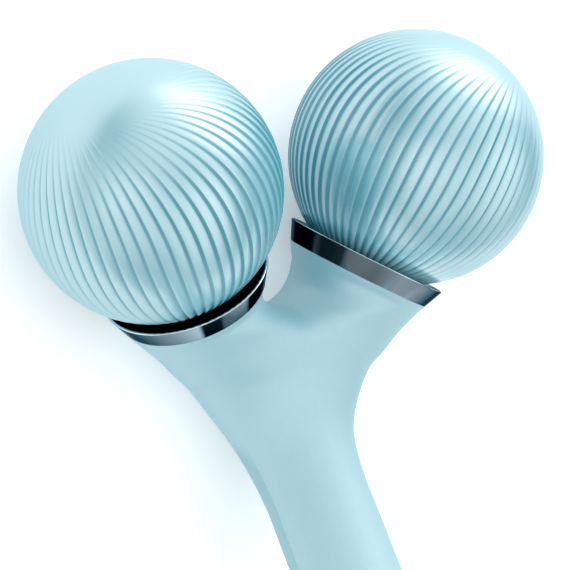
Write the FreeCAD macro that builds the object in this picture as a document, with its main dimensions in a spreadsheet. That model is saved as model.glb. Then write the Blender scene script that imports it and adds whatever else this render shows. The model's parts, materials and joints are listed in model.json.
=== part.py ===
import FreeCAD, Part
import bisect
import math
import os
from collections import namedtuple

import Sketcher

# Facial roller: two fluted balls that turn on the arms of a bent handle made of two shells.
# Lengths are millimetres. Pieces are drawn in two working frames with one origin, the point where
# the two axle lines meet. Fork frame: X towards the balls, Y to the left arm, Z to the concave side.
# Arm frame: Z up that arm's axle. The stand placement then lays both on the floor, where the roller
# rests on its two balls and on the back of its bend.

V = FreeCAD.Vector
doc = FreeCAD.newDocument("facial_roller")

SIZES = {
    # the balls and the places of their centres
    "ball_radius": 20.0,
    "ball_reach": 55.1,
    "arm_half_angle": 26.7,
    "mouth_drop_share": 0.93,
    # the flutes: straight below the equator, swept along chords above it, fading into a smooth crown
    "flute_count": 60,
    "flute_depth": 0.27,
    "flute_valley_share": 0.73,
    "chord_offset_share": 0.906,
    "crown_latitude": 65.0,
    "crown_inset": 0.006,
    # the collars
    "rim_drop_share": 0.855,
    "base_drop_share": 1.0155,
    "rim_radius_share": 0.6585,
    "base_radius_share": 0.588,
    "rim_bevel": 0.25,
    "rim_land": 0.15,
    "dish_gap": 1.34,
    "seat_radius": 5.2,
    "seat_drop": 0.15,
    "collar_floor": 2.3,
    "spigot_wall_share": 0.8,
    "seal_rise": 1.5,
    "seal_half": 0.58,
    "seal_groove_half": 0.65,
    "seal_groove_depth": 1.2,
    # the axles and what keeps the balls on them
    "axle_radius": 3.0,
    "thread_radius": 2.5,
    "shoulder_radius": 4.8,
    "shoulder_drop": 0.6,
    "axle_nose": 1.1,
    "axle_chamfer": 0.4,
    "axle_tail": 1.0,
    "washer_radius": 5.6,
    "washer_thickness": 0.8,
    "end_float": 0.15,
    "running_clearance": 0.03,
    "clip_groove_radius": 2.3,
    "clip_radius": 5.0,
    "clip_thickness": 0.8,
    "clip_sweep": 300.0,
    # the sleeve and bushes inside each ball
    "core_radius": 7.2,
    "core_rise_share": 0.42,
    "core_clear_radius": 3.8,
    "bush_radius": 4.5,
    "bush_length": 6.0,
    "flange_radius": 6.6,
    "flange_thickness": 1.0,
    "clip_well_radius": 6.0,
    "clip_well_depth": 3.0,
    "bore_relief": 0.4,
    # the frame inside the fork
    "boss_radius": 5.5,
    "boss_length": 7.3,
    "nut_radius": 4.4,
    "nut_height": 3.0,
    "plate_thickness": 4.0,
    "plate_length": 4.0,
    "plate_front_inset": 3.2,
    "plate_rear_inset": 6.2,
    "screw_offset_share": 0.445,
    "screw_radius": 0.9,
    "screw_head_radius": 1.5,
    "screw_head_height": 1.2,
    "screw_length": 7.0,
    # the handle
    "bend_angle": 45.7,
    "heel_share": 0.527,
    "grip_length": 92.0,
    "grip_half_width": 8.65,
    "grip_half_depth": 8.4,
    "grip_crease": 20.0,
    "grip_bore_radius": 5.2,
    "grip_end_wall": 5.0,
    "dome_length": 6.5,
    "parting_lift": 1.2,
    "heel_half_width": 10.6,
    "heel_half_depth": 8.6,
    "fork_half_width": 15.0,
    "fork_half_depth": 9.2,
    "web_outer": 18.1,
    "web_inner": 6.0,
    "web_half_depth": 10.1,
    "crotch_outer": 21.0,
    "crotch_half_depth": 10.5,
    "crotch_blend": 1.5,
    "cheek_half_depth": 11.1,
    "parting_gap": 0.1,
    # clearances, and how far a cutting tool runs past what it cuts
    "fit_clearance": 0.05,
    "pocket_clearance": 0.3,
    "overrun": 1.0,
}

sheet = doc.addObject("Spreadsheet::Sheet", "sizes")
for row, (alias, number) in enumerate(SIZES.items(), start=1):
    sheet.set(f"A{row}", alias)
    sheet.set(f"B{row}", str(number))
    sheet.setAlias(f"B{row}", alias)
doc.recompute()


def size(alias):
    """The number in one cell of the sheet."""
    return float(getattr(sheet, alias))


def value(expression):
    """What an expression on the sheet's cells comes to."""
    return float(sheet.evalExpression(expression))


# Heights in an arm frame, as expressions on the sheet.
BASE = "(sizes.ball_reach - sizes.base_drop_share * sizes.ball_radius)"
RIM = "(sizes.ball_reach - sizes.rim_drop_share * sizes.ball_radius)"
MOUTH = "(sizes.ball_reach - sizes.mouth_drop_share * sizes.ball_radius)"
SEAT = "(sizes.ball_reach - sizes.ball_radius - sizes.dish_gap - sizes.seat_drop)"
SPIGOT_FOOT = f"({SEAT} - sizes.collar_floor)"
SEAL = f"({SPIGOT_FOOT} + sizes.seal_rise)"
BOSS_FOOT = f"({SPIGOT_FOOT} - sizes.boss_length)"
NUT_FOOT = f"({BOSS_FOOT} - sizes.nut_height)"
AXLE_FOOT = f"({NUT_FOOT} - sizes.axle_tail)"
SHOULDER_TOP = f"({MOUTH} - sizes.shoulder_drop)"
WASHER_TOP = f"({SHOULDER_TOP} + sizes.washer_thickness)"
FLANGE_FOOT = f"({WASHER_TOP} + sizes.end_float)"
CORE_FOOT = f"({FLANGE_FOOT} + sizes.flange_thickness)"
LOWER_BUSH_TOP = f"({CORE_FOOT} + sizes.bush_length)"
CORE_TOP = "(sizes.ball_reach + sizes.core_rise_share * sizes.ball_radius)"
CLIP_FLOOR = f"({CORE_TOP} - sizes.clip_well_depth)"
UPPER_BUSH_FOOT = f"({CLIP_FLOOR} - sizes.bush_length)"
CLIP_FOOT = f"({CLIP_FLOOR} + sizes.end_float)"
CLIP_TOP = f"({CLIP_FOOT} + sizes.clip_thickness)"
AXLE_TOP = f"({CLIP_TOP} + sizes.axle_nose)"

# Radii in an arm frame.
BASE_RADIUS = "(sizes.base_radius_share * sizes.ball_radius)"
RIM_RADIUS = "(sizes.rim_radius_share * sizes.ball_radius)"
SPIGOT_RADIUS = f"({BASE_RADIUS} * sizes.spigot_wall_share)"
THREAD_HOLE = "(sizes.thread_radius + sizes.fit_clearance)"
BUSH_BORE = "(sizes.axle_radius + sizes.running_clearance)"

# The frame plate in the fork plane, level with the middle of the bosses.
PLATE_MIDDLE = f"(({BOSS_FOOT} + {SPIGOT_FOOT}) / 2 * cos(sizes.arm_half_angle))"
PLATE_FRONT = f"({PLATE_MIDDLE} + sizes.plate_length / 2)"
PLATE_REAR = f"({PLATE_MIDDLE} - sizes.plate_length / 2)"
PLATE_FRONT_HALF = f"({PLATE_FRONT} * tan(sizes.arm_half_angle) - sizes.plate_front_inset)"
PLATE_REAR_HALF = f"({PLATE_REAR} * tan(sizes.arm_half_angle) - sizes.plate_rear_inset)"
SCREW_OFFSET = f"(sizes.screw_offset_share * ({PLATE_FRONT_HALF} + {PLATE_REAR_HALF}) / 2)"


# Skins: surfaces through a grid of points, whose edges depend on the edge points alone,
# so that two skins with a row or a column of points in common share that edge exactly.


def thread_curve(points, parameters):
    """A cubic curve through the points, or a straight one through two."""
    curve = Part.BSplineCurve()
    if len(points) == 2:
        curve.buildFromPolesMultsKnots(points, [2, 2], [0.0, 1.0], False, 1)
    else:
        curve.interpolate(Points=points, Parameters=parameters)
    return curve


def even_shares(count):
    """Parameters of count points, evenly from 0 to 1."""
    return [place / (count - 1) for place in range(count)]


def row_edge(points):
    """The edge that a skin has along one row of its grid."""
    return thread_curve(points, even_shares(len(points))).toShape()


def skin(grid):
    """The face through a grid of points, row by row."""
    rows = [thread_curve(points, even_shares(len(points))) for points in grid]
    columns = []
    for place in range(1, rows[0].NbPoles + 1):
        poles = [row.getPole(place) for row in rows]
        columns.append(thread_curve(poles, even_shares(len(poles))))
    along, across = rows[0], columns[0]
    surface = Part.BSplineSurface()
    surface.buildFromPolesMultsKnots(
        [column.getPoles() for column in columns],
        along.getMultiplicities(), across.getMultiplicities(),
        along.getKnots(), across.getKnots(),
        False, False, along.Degree, across.Degree)
    return surface.toShape()


SEW_TOLERANCE_SHARE = 5e-5


def sewn_solid(faces):
    """The solid that the faces enclose."""
    shell = Part.makeShell(faces)
    shell.sewShape(SEW_TOLERANCE_SHARE * size("ball_radius"))
    solid = Part.makeSolid(shell)
    if solid.Volume < 0:
        solid.reverse()
    return solid


# The handle's centre line, in the fork frame: straight along the grip, then an arc whose end lies
# level with the middle of the collars' bases.

half_angle = math.radians(size("arm_half_angle"))
bend_angle = math.radians(size("bend_angle"))
base_height = value(BASE)
base_radius = value(BASE_RADIUS)
bend_end = base_height * math.cos(half_angle)
heel = size("heel_share") * bend_end
bend_radius = (bend_end - heel) / math.tan(bend_angle / 2)
bend_length = bend_radius * bend_angle
grip_direction = V(math.cos(bend_angle), 0, -math.sin(bend_angle))
bend_start = V(heel, 0, 0) - grip_direction * (bend_end - heel)
bend_centre = V(bend_end, 0, bend_radius)


def station(length):
    """Point and direction of the centre line, length on from where the bend starts."""
    if length < 0:
        return bend_start + grip_direction * length, grip_direction
    angle = length / bend_radius - bend_angle
    outward = V(math.sin(angle), 0, -math.cos(angle))
    return bend_centre + outward * bend_radius, V(math.cos(angle), 0, math.sin(angle))


# The left leg's sections run from the grip to the left collar. Each is an oval between an outer and
# an inner point, given by their stations on the centre line and their reach to the left, and its
# parting line lies a lift to the front of the middle of its depth. Below the crotch the inner point
# lies past the middle plane, where the two legs are one. Near the middle plane a reach is measured
# to a point that the blend moves aside, which rounds the valley between the legs and the notch.
Section = namedtuple(
    "Section",
    "share outer_station outer_reach inner_station inner_reach half_depth crease blend lift")

grip_top_share = -0.45
neck_share = -0.2
heel_section_share = 0.14
heel_crease_share = 0.6
fork_share = 0.46
fork_station_shares = (0.44, 0.48)
web_share = 0.68
web_station_shares = (0.546, 0.805)
crotch_share = 0.8
crotch_station_shares = (0.654, 0.91)
crotch_lift_share = 0.5
cheek_share = 0.88
cheek_station_shares = (0.726, 0.98)
cheek_lift_share = 0.08
cheek_outer_share = 0.47
cheek_inner_share = 0.95

grip_crease = math.radians(size("grip_crease"))
collar_step = base_radius * math.sin(half_angle)
collar_half = base_radius * math.cos(half_angle)
collar_reach = base_height * math.sin(half_angle)
collar_outer = collar_reach + collar_half
collar_inner = collar_reach - collar_half
crotch_outer = size("crotch_outer")
cheek_outer = crotch_outer + cheek_outer_share * (collar_outer - crotch_outer)
crotch_blend = size("crotch_blend")
cheek_inner = math.hypot(cheek_inner_share * collar_inner, crotch_blend)
parting_lift = size("parting_lift")


def level_section(share, half_width, half_depth, crease):
    """A section that is the same to both sides of the middle plane."""
    place = share * bend_length
    return Section(share, place, half_width, place, -half_width, half_depth, crease, 0, parting_lift)


def leg_section(share, station_shares, outer_reach, inner_reach, half_depth, blend, lift):
    """A section whose outer and inner points have stations of their own."""
    outer_share, inner_share = station_shares
    return Section(share, outer_share * bend_length, outer_reach,
                   inner_share * bend_length, inner_reach, half_depth, 0, blend, lift)


SECTIONS = [
    level_section(grip_top_share, size("grip_half_width"), size("grip_half_depth"), grip_crease),
    level_section(neck_share, size("grip_half_width"), size("grip_half_depth"), grip_crease),
    level_section(heel_section_share, size("heel_half_width"), size("heel_half_depth"),
                  heel_crease_share * grip_crease),
    leg_section(fork_share, fork_station_shares, size("fork_half_width"), -size("fork_half_width"),
                size("fork_half_depth"), 0, parting_lift),
    leg_section(web_share, web_station_shares, size("web_outer"), -size("web_inner"),
                size("web_half_depth"), crotch_blend, parting_lift),
    leg_section(crotch_share, crotch_station_shares, crotch_outer, crotch_blend,
                size("crotch_half_depth"), crotch_blend, crotch_lift_share * parting_lift),
    leg_section(cheek_share, cheek_station_shares, cheek_outer, cheek_inner,
                size("cheek_half_depth"), crotch_blend, cheek_lift_share * parting_lift),
    Section(1, bend_length - collar_step, collar_outer, bend_length + collar_step, collar_inner,
            base_radius, 0, 0, 0),
]
SECTION_SHARES = [section.share for section in SECTIONS]


def section_slope(place, field):
    """How fast one field changes at a section, from its neighbours on both sides."""
    last = len(SECTIONS) - 1
    rates = []
    steps = []
    for low in (place - 1, place):
        if 0 <= low < last:
            step = SECTION_SHARES[low + 1] - SECTION_SHARES[low]
            rates.append((SECTIONS[low + 1][field] - SECTIONS[low][field]) / step)
            steps.append(step)
    if len(rates) == 1:
        return rates[0]
    return (rates[0] * steps[1] + rates[1] * steps[0]) / (steps[0] + steps[1])


def blended_section(share):
    """The section at any share of the bend, on smooth curves through the given ones."""
    place = bisect.bisect_right(SECTION_SHARES, share) - 1
    place = min(max(place, 0), len(SECTIONS) - 2)
    step = SECTION_SHARES[place + 1] - SECTION_SHARES[place]
    part = (share - SECTION_SHARES[place]) / step
    rise = part * part * (3 - 2 * part)
    leave = part * (1 - part) ** 2
    arrive = part * part * (part - 1)
    fields = [share]
    for field in range(1, len(Section._fields)):
        ends = (1 - rise) * SECTIONS[place][field] + rise * SECTIONS[place + 1][field]
        slopes = leave * section_slope(place, field) + arrive * section_slope(place + 1, field)
        fields.append(ends + step * slopes)
    return Section(*fields)


ARC_POINTS = 9


def blended(point, blend):
    """A section's point, drawn in towards the middle plane by the blend."""
    return V(point.x, math.sqrt(max(point.y ** 2 - blend ** 2, 0)), point.z)


def section_rows(section, face, closed, shrink=1):
    """The outline points of one half section, and the two ends of its parting line.

    face is 1 for the front half and -1 for the rear. A closed section has its own inner point;
    an open one stops at the middle plane.
    """
    middle, along = station((section.outer_station + section.inner_station) / 2)
    front = V(-along.z, 0, along.x)
    left = V(0, section.outer_reach - section.inner_reach, 0)
    across = left + along * (section.outer_station - section.inner_station)
    half_width = shrink * across.Length / 2
    face_depth = shrink * (section.half_depth - face * section.lift)
    across.normalize()
    centre = middle + V(0, (section.outer_reach + section.inner_reach) / 2, 0)
    centre += front * (shrink * section.lift + face * size("parting_gap") / 2)
    crease = section.crease
    if closed:
        first = math.pi - crease
        inner = centre - across * half_width
    else:
        to_middle = (section.blend - centre.y) / across.y
        first = math.acos(to_middle * math.cos(crease) / half_width)
        inner = centre + across * to_middle
    points = []
    for share in even_shares(ARC_POINTS):
        angle = first + (crease - first) * share
        width = half_width * math.cos(angle) / math.cos(crease)
        depth = face_depth * (math.sin(angle) - math.sin(crease)) / (1 - math.sin(crease))
        points.append(blended(centre + across * width + front * (face * depth), section.blend))
    inner = blended(inner, section.blend)
    if closed:
        points[0] = inner
    else:
        points[0].y = 0
        inner.y = 0
    return points, [points[-1], inner]


LOWER_ROWS = 15
UPPER_ROWS = 7
DOME_ROWS = 5
dome_turn_share = 0.86
crowding_power = 1.6


def lower_shares():
    """Shares of the rows below the crotch, crowded towards it, where the web rounds over."""
    reach = crotch_share - grip_top_share
    return [crotch_share - reach * (1 - share) ** crowding_power for share in even_shares(LOWER_ROWS)]


def leg_patches(face):
    """The left leg's rows in patches: dome, grip, bend up to the crotch, and arm."""
    lower = [section_rows(blended_section(share), face, False) for share in lower_shares()[:-1]]
    crotch = section_rows(blended_section(crotch_share), face, True)
    crotch[0][0].y = 0
    lower.append(crotch)
    upper = [crotch]
    for share in even_shares(UPPER_ROWS)[1:]:
        place = crotch_share + share * (1 - crotch_share)
        upper.append(section_rows(blended_section(place), face, True))
    dome = []
    for share in even_shares(DOME_ROWS):
        turn = share * dome_turn_share * math.pi / 2
        place = -size("grip_length") - size("dome_length") * math.sin(turn)
        end = SECTIONS[0]._replace(outer_station=place, inner_station=place)
        dome.append(section_rows(end, face, False, math.cos(turn)))
    dome.reverse()
    grip = [dome[-1], lower[0]]
    return dome, grip, lower, upper


def mirrored(shapes):
    """The shapes' mirror images on the right."""
    return [shape.mirror(V(0, 0, 0), V(0, 1, 0)) for shape in shapes]


def handle_half(face):
    """One half of the handle as a full solid, before its pockets."""
    patches = leg_patches(face)
    faces = []
    for rows in patches:
        faces.append(skin([outline for outline, parting in rows]))
        faces.append(skin([parting for outline, parting in rows]))
    collar_outline, collar_parting = patches[-1][-1]
    faces.append(Part.Face(Part.Wire([row_edge(collar_outline), row_edge(collar_parting)])))
    tip = [row_edge(points) for points in patches[0][0]]
    tip_wire = Part.Wire(Part.__sortEdges__(tip + mirrored(tip)))
    return sewn_solid(faces + mirrored(faces) + [Part.Face(tip_wire)])


def floor_stand():
    """The placement that puts both balls and the back of the bend on the floor.

    The origin is the floor point in the middle of the three places where the roller touches it.
    """
    backs = []
    for rows in leg_patches(-1):
        for outline, parting in rows:
            backs.extend(outline)
    ball = V(size("ball_reach") * math.cos(half_angle), 0, 0)
    low, high = 0, math.pi / 2
    halvings = 50
    for halving in range(halvings):
        tilt = (low + high) / 2
        up = V(math.sin(tilt), 0, math.cos(tilt))
        touch = min(backs, key=up.dot)
        if touch.dot(up) < ball.dot(up) - size("ball_radius"):
            high = tilt
        else:
            low = tilt
    forward = V(math.cos(tilt), 0, -math.sin(tilt))
    middle = (2 * ball.dot(forward) + touch.dot(forward)) / 3
    lift = size("ball_radius") - ball.dot(up)
    return FreeCAD.Placement(V(-middle, 0, lift), FreeCAD.Rotation(V(0, 1, 0), -math.degrees(tilt)))


stand = floor_stand()


def fork_place(x=0, y=0, z=0):
    """A place in the fork frame."""
    return stand.multiply(FreeCAD.Placement(V(x, y, z), FreeCAD.Rotation()))


def arm_place(side, height=0):
    """A place on an arm's axle line; side is 1 for the left arm and -1 for the right."""
    direction = V(math.cos(half_angle), side * math.sin(half_angle), 0)
    lean = FreeCAD.Placement(V(0, 0, 0), FreeCAD.Rotation(V(0, 0, 1), direction))
    up = FreeCAD.Placement(V(0, 0, height), FreeCAD.Rotation())
    return stand.multiply(lean).multiply(up)


# Makers of one object each.


def origin_plane(body, role):
    """One of a body's own origin planes."""
    return next(plane for plane in body.Origin.OriginFeatures if plane.Role == role)


def outline_body(label, plane, corners):
    """A body with one sketch: a closed outline whose corners are pairs of expressions."""
    body = doc.addObject("PartDesign::Body", label)
    sketch = body.newObject("Sketcher::SketchObject", label + "_outline")
    sketch.AttachmentSupport = [(origin_plane(body, plane), "")]
    sketch.MapMode = "FlatFace"
    points = [V(value(first), value(second), 0) for first, second in corners]
    count = len(points)
    for place in range(count):
        sketch.addGeometry(Part.LineSegment(points[place], points[(place + 1) % count]), False)
    for place in range(count):
        sketch.addConstraint(Sketcher.Constraint("Coincident", place, 2, (place + 1) % count, 1))
    for place, (first, second) in enumerate(corners):
        for kind, expression in (("DistanceX", first), ("DistanceY", second)):
            number = value(expression)
            index = sketch.addConstraint(Sketcher.Constraint(kind, -1, 1, place, 1, number))
            sketch.setExpression(f"Constraints[{index}]", expression)
    doc.recompute()
    return body, sketch


def turned(label, place, corners, sweep="360"):
    """A piece turned about its arm's axle from corners of (radius, height)."""
    body, sketch = outline_body(label, "XZ_Plane", corners)
    revolution = body.newObject("PartDesign::Revolution", label + "_turning")
    revolution.Profile = sketch
    revolution.ReferenceAxis = (sketch, ["V_Axis"])
    revolution.setExpression("Angle", sweep)
    body.Tip = revolution
    body.Placement = place
    return body


def bound(kind, label, place, **expressions):
    """A primitive whose properties are bound to expressions on the sheet."""
    item = doc.addObject(kind, label)
    for name, expression in expressions.items():
        item.setExpression(name, expression)
    item.Placement = place
    return item


def fused(label, shapes):
    """Several objects as one."""
    item = doc.addObject("Part::MultiFuse", label)
    item.Shapes = shapes
    return item


def cut(label, base, tool):
    """One object less another."""
    item = doc.addObject("Part::Cut", label)
    item.Base = base
    item.Tool = tool
    return item


def shaped(label, shape, place):
    """A shape of its own making, put in its place."""
    item = doc.addObject("Part::Feature", label)
    item.Shape = shape
    item.Placement = place
    return item


# The fluted balls.

FLUTE_ROWS = 13


def flute_swing(latitude, crown_latitude):
    """How far a flute has turned round the ball at a latitude.

    Seen along the axle, a flute above the equator is a straight chord that passes the axle at a
    share of the crown's radius; below the equator it is a meridian.
    """
    if latitude <= 0:
        return 0
    offset_share = size("chord_offset_share") * math.cos(crown_latitude)
    return math.acos(offset_share) - math.acos(offset_share / math.cos(latitude))


def fluted_ball(twist):
    """A ball with pleat-like flutes that swing to the side of twist, closed flat below, domed above.

    Each flute falls gently from its crest to its valley and rises steeply to the next crest; the
    other ball's flutes are the mirror image.
    """
    radius = size("ball_radius")
    count = round(size("flute_count"))
    pitch = 2 * math.pi / count
    mouth_latitude = -math.asin(size("mouth_drop_share"))
    crown_latitude = math.radians(size("crown_latitude"))

    def row_point(latitude_share, turn, valley):
        latitude = mouth_latitude + latitude_share * (crown_latitude - mouth_latitude)
        fade = math.sqrt(abs(math.sin(math.pi * latitude_share)))
        drop = size("flute_depth") * fade if valley else 0
        height = radius * math.sin(latitude)
        reach = math.sqrt((radius - drop) ** 2 - height ** 2)
        angle = turn * pitch + twist * flute_swing(latitude, crown_latitude)
        return V(reach * math.cos(angle), reach * math.sin(angle), height)

    strips = []
    foot_edges = []
    crown_edges = []
    valley_share = size("flute_valley_share")
    if twist > 0:
        valley_share = 1 - valley_share
    for flute in range(count):
        valley_turn = flute + valley_share
        lines = [(flute, False), (valley_turn, True), (flute + 1, False)]
        for near, far in zip(lines, lines[1:]):
            grid = [[row_point(share, *near), row_point(share, *far)] for share in even_shares(FLUTE_ROWS)]
            strips.append(skin(grid))
            foot_edges.append(row_edge(grid[0]))
            crown_edges.append(row_edge(grid[-1]))
    ends = [Part.Face(Part.Wire(edges)) for edges in (foot_edges, crown_edges)]
    fluted = sewn_solid(strips + ends)
    dome_radius = radius - size("crown_inset")
    dome_start = math.degrees(math.asin(radius * math.sin(crown_latitude) / dome_radius))
    dome = Part.makeSphere(dome_radius, V(0, 0, 0), V(0, 0, 1), dome_start, 90)
    return fluted.fuse(dome)


def ball_shell(name, side):
    """The fluted ball with the blind bore for its sleeve."""
    ball = shaped(name + "_fluted_ball", fluted_ball(-side), arm_place(side, size("ball_reach")))
    bore_foot = value(f"{MOUTH} - sizes.overrun")
    bore = bound("Part::Cylinder", name + "_ball_bore", arm_place(side, bore_foot),
                 Radius="sizes.core_radius",
                 Height=f"{CORE_TOP} + sizes.bore_relief - {MOUTH} + sizes.overrun")
    return cut(name + "_ball_shell", ball, bore)


# The turned pieces of one arm.


def ball_core(name, side):
    """The sleeve that is pressed into the ball and holds both bushes."""
    return turned(name + "_ball_core", arm_place(side), [
        ("sizes.bush_radius", CORE_FOOT),
        ("sizes.core_radius", CORE_FOOT),
        ("sizes.core_radius", CORE_TOP),
        ("sizes.clip_well_radius", CORE_TOP),
        ("sizes.clip_well_radius", CLIP_FLOOR),
        ("sizes.bush_radius", CLIP_FLOOR),
        ("sizes.bush_radius", UPPER_BUSH_FOOT),
        ("sizes.core_clear_radius", UPPER_BUSH_FOOT),
        ("sizes.core_clear_radius", LOWER_BUSH_TOP),
        ("sizes.bush_radius", LOWER_BUSH_TOP)])


def lower_bush(name, side):
    """The flanged bush that carries the ball on the thrust washer."""
    return turned(name + "_lower_bush", arm_place(side), [
        (BUSH_BORE, FLANGE_FOOT),
        ("sizes.flange_radius", FLANGE_FOOT),
        ("sizes.flange_radius", CORE_FOOT),
        ("sizes.bush_radius", CORE_FOOT),
        ("sizes.bush_radius", LOWER_BUSH_TOP),
        (BUSH_BORE, LOWER_BUSH_TOP)])


def upper_bush(name, side):
    """The plain bush under the retaining clip."""
    return turned(name + "_upper_bush", arm_place(side), [
        (BUSH_BORE, UPPER_BUSH_FOOT),
        ("sizes.bush_radius", UPPER_BUSH_FOOT),
        ("sizes.bush_radius", CLIP_FLOOR),
        (BUSH_BORE, CLIP_FLOOR)])


def axle(name, side):
    """The axle: threaded tail, shoulder on the collar, journal, clip groove and chamfered nose."""
    return turned(name + "_axle", arm_place(side), [
        ("0", AXLE_FOOT),
        ("sizes.thread_radius", AXLE_FOOT),
        ("sizes.thread_radius", SEAT),
        ("sizes.shoulder_radius", SEAT),
        ("sizes.shoulder_radius", SHOULDER_TOP),
        ("sizes.axle_radius", SHOULDER_TOP),
        ("sizes.axle_radius", CLIP_FOOT),
        ("sizes.clip_groove_radius", CLIP_FOOT),
        ("sizes.clip_groove_radius", CLIP_TOP),
        ("sizes.axle_radius", CLIP_TOP),
        ("sizes.axle_radius", f"({AXLE_TOP} - sizes.axle_chamfer)"),
        ("(sizes.axle_radius - sizes.axle_chamfer)", AXLE_TOP),
        ("0", AXLE_TOP)])


def retaining_clip(name, side):
    """The open ring in the axle's groove."""
    return turned(name + "_retaining_clip", arm_place(side), [
        ("sizes.clip_groove_radius", CLIP_FOOT),
        ("sizes.clip_radius", CLIP_FOOT),
        ("sizes.clip_radius", CLIP_TOP),
        ("sizes.clip_groove_radius", CLIP_TOP)], "sizes.clip_sweep")


def thrust_washer(name, side):
    """The washer that the ball's lower bush runs on."""
    washer_hole = "(sizes.axle_radius + sizes.fit_clearance)"
    return turned(name + "_thrust_washer", arm_place(side), [
        (washer_hole, SHOULDER_TOP),
        ("sizes.washer_radius", SHOULDER_TOP),
        ("sizes.washer_radius", WASHER_TOP),
        (washer_hole, WASHER_TOP)])


def dish_height(radius):
    """The height of the collar's dish at a radius, level with the ball above it."""
    dish_radius = "(sizes.ball_radius + sizes.dish_gap)"
    return f"(sizes.ball_reach - sqrt({dish_radius} ^ 2 - {radius} ^ 2))"


def collar(name, side):
    """The polished collar: spigot with a seal groove, conical band, bevelled rim, dish, axle seat."""
    seal_floor = f"({SPIGOT_RADIUS} - sizes.seal_groove_depth)"
    lip = f"({RIM_RADIUS} - sizes.rim_bevel - sizes.rim_land)"
    dish_middle = f"(({lip} + sizes.seat_radius) / 2)"
    return turned(name + "_collar", arm_place(side), [
        (THREAD_HOLE, SPIGOT_FOOT),
        (SPIGOT_RADIUS, SPIGOT_FOOT),
        (SPIGOT_RADIUS, f"({SEAL} - sizes.seal_groove_half)"),
        (seal_floor, f"({SEAL} - sizes.seal_groove_half)"),
        (seal_floor, f"({SEAL} + sizes.seal_groove_half)"),
        (SPIGOT_RADIUS, f"({SEAL} + sizes.seal_groove_half)"),
        (SPIGOT_RADIUS, BASE),
        (BASE_RADIUS, BASE),
        (RIM_RADIUS, f"({RIM} - sizes.rim_bevel)"),
        (f"({RIM_RADIUS} - sizes.rim_bevel)", RIM),
        (lip, RIM),
        (dish_middle, dish_height(dish_middle)),
        ("sizes.seat_radius", dish_height("sizes.seat_radius")),
        ("sizes.seat_radius", SEAT),
        (THREAD_HOLE, SEAT)])


def seal_ring(name, side):
    """The square-section ring in the spigot's groove."""
    ring_bore = f"({SPIGOT_RADIUS} - 2 * sizes.seal_half)"
    return turned(name + "_seal_ring", arm_place(side), [
        (ring_bore, f"({SEAL} - sizes.seal_half)"),
        (SPIGOT_RADIUS, f"({SEAL} - sizes.seal_half)"),
        (SPIGOT_RADIUS, f"({SEAL} + sizes.seal_half)"),
        (ring_bore, f"({SEAL} + sizes.seal_half)")])


def axle_nut(name, side):
    """The hexagon nut that pulls axle and collar down on the frame."""
    blank = bound("Part::Prism", name + "_nut_blank", arm_place(side, value(NUT_FOOT)),
                  Circumradius="sizes.nut_radius",
                  Height="sizes.nut_height")
    hole = bound("Part::Cylinder", name + "_nut_hole",
                 arm_place(side, value(f"{NUT_FOOT} - sizes.overrun")),
                 Radius=THREAD_HOLE,
                 Height="sizes.nut_height + 2 * sizes.overrun")
    return cut(name + "_axle_nut", blank, hole)


# The frame, its screws and the pockets that hold them.


def plate_corners(growth):
    """The frame plate's outline in the fork plane, grown by an expression to every side."""
    front_edge = f"({PLATE_FRONT} + {growth})"
    rear_edge = f"({PLATE_REAR} - {growth})"
    front_half = f"({PLATE_FRONT_HALF} + {growth})"
    rear_half = f"({PLATE_REAR_HALF} + {growth})"
    return [(rear_edge, f"-{rear_half}"), (front_edge, f"-{front_half}"),
            (front_edge, front_half), (rear_edge, rear_half)]


def plate(label, growth, headroom):
    """A plate across the fork, its underside level with the frame's."""
    body, sketch = outline_body(label, "XY_Plane", plate_corners(growth))
    pad = body.newObject("PartDesign::Pad", label + "_pad")
    pad.Profile = sketch
    pad.setExpression("Length", f"sizes.plate_thickness + {headroom}")
    body.Tip = pad
    body.Placement = fork_place(0, 0, -size("plate_thickness") / 2)
    return body


def arm_rod(label, side, foot, top, radius):
    """A plain cylinder on an arm's axle line, between two heights."""
    return bound("Part::Cylinder", label, arm_place(side, value(foot)),
                 Radius=radius,
                 Height=f"{top} - {foot}")


def screw_rods(label, foot, length, radius):
    """Plain cylinders at both frame screws, from a height in the fork frame upwards."""
    rods = []
    for name, side in SIDES:
        place = fork_place(value(PLATE_MIDDLE), side * value(SCREW_OFFSET), value(foot))
        rods.append(bound("Part::Cylinder", f"{name}_{label}", place, Radius=radius, Height=length))
    return rods


SIDES = (("left", 1), ("right", -1))
SCREW_FOOT = "(sizes.plate_thickness / 2 - sizes.screw_length)"
HEAD_FOOT = "(sizes.plate_thickness / 2 - sizes.screw_head_height)"


def core_frame():
    """The V-shaped frame: a plate with a boss for each axle and counterbored holes for the screws."""
    bosses = []
    holes = []
    for name, side in SIDES:
        bosses.append(arm_rod(name + "_frame_boss", side, BOSS_FOOT, SPIGOT_FOOT, "sizes.boss_radius"))
        holes.append(arm_rod(name + "_frame_hole", side, f"({BOSS_FOOT} - sizes.overrun)",
                             f"({SPIGOT_FOOT} + sizes.overrun)", THREAD_HOLE))
    holes += screw_rods("plate_hole", "-(sizes.plate_thickness / 2 + sizes.overrun)",
                        "sizes.plate_thickness + 2 * sizes.overrun",
                        "sizes.screw_radius + sizes.fit_clearance")
    holes += screw_rods("head_hole", HEAD_FOOT, "sizes.boss_radius + sizes.overrun",
                        "sizes.screw_head_radius + sizes.fit_clearance")
    blank = fused("frame_blank", [plate("frame_plate", "0", "0")] + bosses)
    return cut("core_frame", blank, fused("frame_holes", holes))


def frame_screws():
    """The two screws, as one node."""
    shanks = screw_rods("screw_shank", SCREW_FOOT, "sizes.screw_length", "sizes.screw_radius")
    heads = screw_rods("screw_head", HEAD_FOOT, "sizes.screw_head_height", "sizes.screw_head_radius")
    return fused("frame_screws", shanks + heads)


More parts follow.
